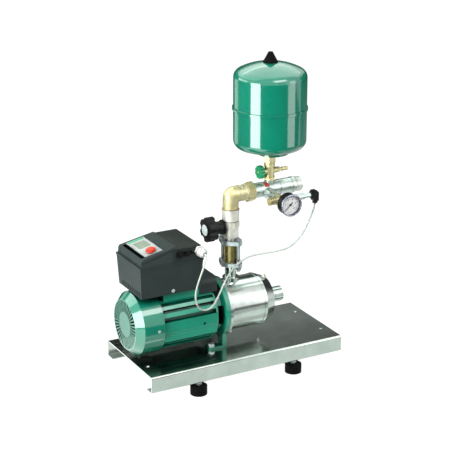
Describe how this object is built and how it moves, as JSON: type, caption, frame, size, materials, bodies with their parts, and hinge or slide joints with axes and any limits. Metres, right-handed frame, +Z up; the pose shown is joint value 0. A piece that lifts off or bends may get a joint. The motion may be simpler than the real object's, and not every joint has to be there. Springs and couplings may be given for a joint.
{
  "type": "booster pump set",
  "caption": "Booster pump set: horizontal multistage pump with motor and frequency converter on a folded base, riser with valves, manifold, gauge and diaphragm vessel.",
  "frame": {"origin": "middle of the bounding box at the underside of the rubber feet", "axes": "+X along the pump axis from the fan to the suction nozzle, +Y away from the gauge side, +Z up"},
  "size_m": [0.62, 0.309, 0.9127],
  "materials": {
    "green_paint": "gloss",
    "stainless": "brushed",
    "zinc": "satin",
    "steel": "ground",
    "rubber": "matt",
    "brass_dull": "dull",
    "brass_pale": "satin",
    "nickel": "satin",
    "chrome": "polished",
    "black_plastic": "satin",
    "dark_plastic": "fine grain",
    "grey_panel": "satin",
    "red_plastic": "gloss",
    "green_plastic": "gloss",
    "white_plastic": "satin",
    "cap_grey": "satin",
    "dial_white": "matt",
    "pointer_black": "matt",
    "clear_glass": "clear"
  },
  "bodies": {
    "set": {"base_plate": "stainless", "foot_buffers": "rubber", "foot_studs": "zinc", "fan_cover": "green_paint", "motor_housing": "green_paint", "stator": "steel", "shaft_bearings": "steel", "lantern": "green_paint", "pump_bolts": "zinc", "casing_bolts": "zinc", "pump_casing": "stainless", "stage_casings": "stainless", "shaft_seal": "black_plastic", "suction_cover": "stainless", "suction_nozzle": "nickel", "casing_plugs": "nickel", "discharge_flange": "zinc", "check_valve_body": "brass_dull", "check_spring": "steel", "valve_flange": "zinc", "flange_bolts": "zinc", "stop_valve_body": "nickel", "elbow": "brass_pale", "union_nut": "brass_pale", "manifold_pipe": "chrome", "vessel_valve_body": "brass_pale", "drain_nipple": "brass_pale", "vessel_lower_shell": "green_paint", "vessel_upper_shell": "green_paint", "vessel_diaphragm": "rubber", "air_valve": "brass_pale", "gauge_block": "brass_pale", "test_plug": "brass_pale", "gauge_case": "black_plastic", "gauge_dial": "dial_white", "gauge_lens": "clear_glass", "pressure_transmitter": "chrome", "transmitter_connector": "black_plastic", "sensor_cable": "white_plastic", "cable_gland": "white_plastic", "converter_adapter": "dark_plastic", "converter_tub": "dark_plastic", "converter_cover": "dark_plastic", "terminal_cover": "dark_plastic", "display_panel": "grey_panel", "blind_glands": "black_plastic"},
    "rotor": {"pump_shaft": "steel", "rotor_core": "steel", "cooling_fan": "black_plastic", "impellers": "stainless"},
    "stop_valve_handle": {"valve_ball": "chrome", "star_knob": "black_plastic", "knob_cap": "cap_grey"},
    "vessel_valve_handle": {"vessel_valve_spindle": "brass_pale", "vessel_valve_knob": "green_plastic"},
    "pointer": {"gauge_pointer": "pointer_black"},
    "button_shaft": {"encoder_shaft": "steel"},
    "button": {"red_knob": "red_plastic"},
    "check": {"check_disc": "black_plastic"},
    "cap": {"vessel_cap": "black_plastic"}
  },
  "joints": [
    {"name": "rotor_spin", "type": "hinge", "parent": "set", "child": "rotor", "pos_m": [0, 0, 0.1915], "axis": [1, 0, 0], "continuous": true},
    {"name": "stop_valve_turn", "type": "hinge", "parent": "set", "child": "stop_valve_handle", "pos_m": [0.0235, 0, 0.4265], "axis": [1, 0, 0], "range_deg": [0, 90]},
    {"name": "vessel_valve_turn", "type": "hinge", "parent": "set", "child": "vessel_valve_handle", "pos_m": [0.148, 0, 0.5707], "axis": [1, 0, 0], "range_deg": [0, 90]},
    {"name": "gauge_pointer_turn", "type": "hinge", "parent": "set", "child": "pointer", "pos_m": [0.135, -0.139, 0.5115], "axis": [0, 1, 0], "range_deg": [0, 270]},
    {"name": "button_press", "type": "slide", "parent": "set", "child": "button_shaft", "axis": [0.2055, 0, -0.9787], "range_m": [0, 0.0015], "stiffness_N_per_m": 600, "springref_m": -0.001},
    {"name": "button_turn", "type": "hinge", "parent": "button_shaft", "child": "button", "pos_m": [-0.24639, -0.045, 0.40903], "axis": [-0.2055, 0, 0.9787], "continuous": true},
    {"name": "check_lift", "type": "slide", "parent": "set", "child": "check", "axis": [0, 0, 1], "range_m": [0, 0.008], "stiffness_N_per_m": 150, "springref_m": -0.01, "deforming": ["check_spring"]},
    {"name": "cap_lift", "type": "slide", "parent": "set", "child": "cap", "axis": [0, 0, 1], "range_m": [0, 0.04]}
  ]
}
